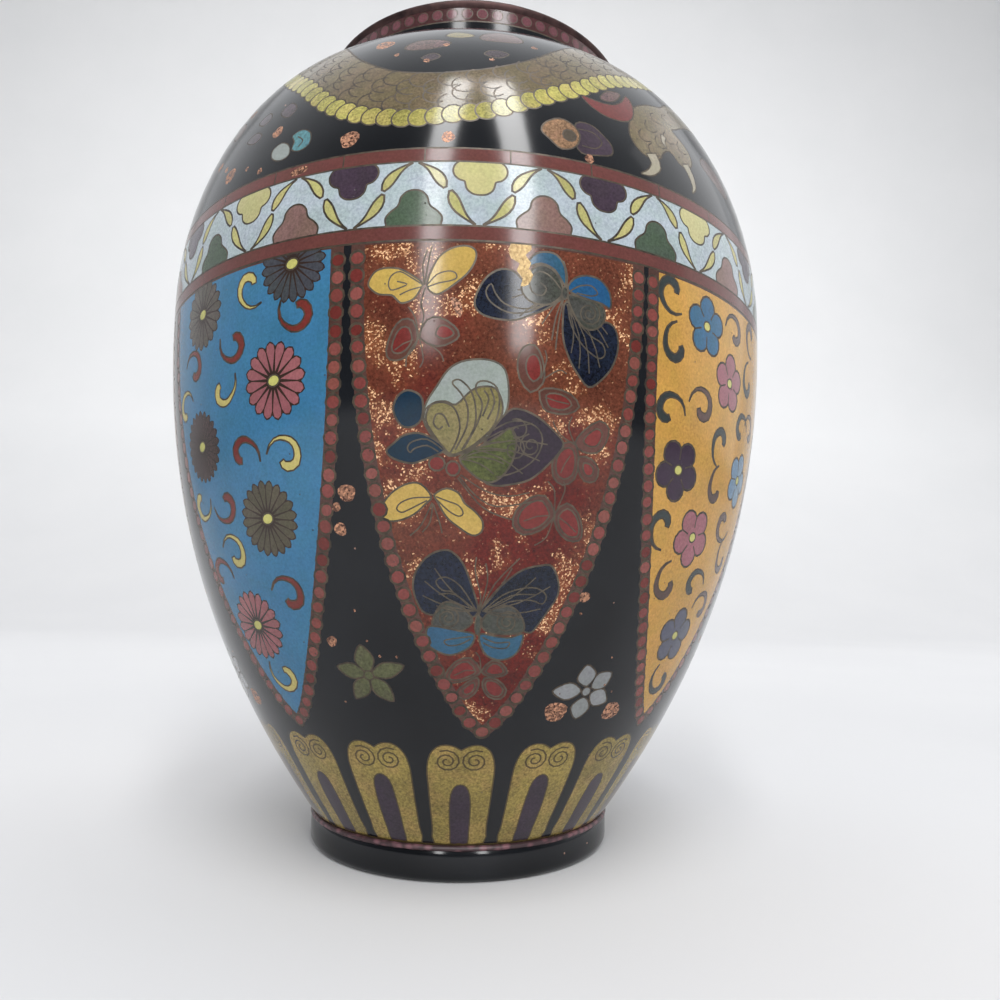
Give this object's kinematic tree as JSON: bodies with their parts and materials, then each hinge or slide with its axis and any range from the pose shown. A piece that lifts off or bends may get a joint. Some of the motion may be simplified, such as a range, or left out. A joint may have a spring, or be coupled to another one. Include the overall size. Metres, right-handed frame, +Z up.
{
  "type": "cloisonne lidded jar",
  "caption": "Egg-shaped enamelled copper jar on a low foot ring, with a short upright neck, a shallow domed lift-off lid and a small bud knob; hollow and open at the mouth.",
  "frame": {"origin": "centre of the foot ring's underside, where the jar stands", "axes": "+Z up along the jar's axis; the front panel of the decoration faces -Y"},
  "size_m": [0.1102, 0.1102, 0.1695],
  "materials": {
    "jar_enamel": "glossy black glass enamel with coloured wire-edged cells, fired on copper and polished flush",
    "lid_enamel": "glossy black glass enamel with a few coloured wire-edged cells",
    "knob_brass": "aged cast brass, dull in the hollows and rubbed on the bud"
  },
  "bodies": {
    "root": {"jar_body": "jar_enamel", "lid": "lid_enamel", "lid_knob": "knob_brass"}
  },
  "joints": []
}
